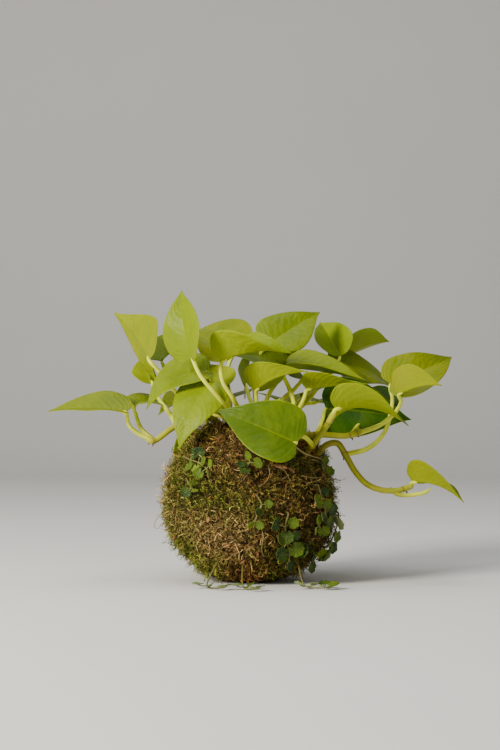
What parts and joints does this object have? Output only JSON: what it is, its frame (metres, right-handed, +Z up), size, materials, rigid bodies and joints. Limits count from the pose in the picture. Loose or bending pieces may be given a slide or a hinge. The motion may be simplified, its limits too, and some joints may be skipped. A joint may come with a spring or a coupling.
{
  "type": "kokedama moss ball plant",
  "caption": "Moss-covered ball of soil planted with a heart-leaved trailing vine and sprigs of small-leaved creeper, standing on a small flat foot.",
  "frame": {"origin": "centre of the small flat foot of the moss ball, on the surface it stands on", "axes": "+Z up, +X to the side of the long trailing shoot, -Y to the front"},
  "size_m": [0.3294, 0.216, 0.2313],
  "materials": {
    "soil": "damp, crumbly, dark brown",
    "moss": "matte, fibrous, olive green with brown and tan patches",
    "vine_leaf": "waxy, satin, yellow-green",
    "creeper_leaf": "satin, dark blue-green to mid green"
  },
  "bodies": {
    "root": {"soil_ball": "soil", "moss_shell": "moss", "vine_left": "vine_leaf", "stem_left_front": "vine_leaf", "stem_left_back": "vine_leaf", "stem_centre": "vine_leaf", "stem_centre_back": "vine_leaf", "stem_right": "vine_leaf", "stem_right_front": "vine_leaf", "vine_right_upper": "vine_leaf", "vine_right_trailing": "vine_leaf", "stem_right_back": "vine_leaf", "stem_back_left": "vine_leaf", "stem_back_right": "vine_leaf", "creeper_left_top": "creeper_leaf", "creeper_left": "creeper_leaf", "creeper_front_top": "creeper_leaf", "creeper_front": "creeper_leaf", "creeper_right_top": "creeper_leaf", "creeper_right": "creeper_leaf", "creeper_right_low": "creeper_leaf", "creeper_right_edge": "creeper_leaf", "creeper_foot_left": "creeper_leaf", "creeper_foot_centre": "creeper_leaf", "creeper_foot_right": "creeper_leaf", "creeper_back": "creeper_leaf", "creeper_back_left": "creeper_leaf"}
  },
  "joints": []
}
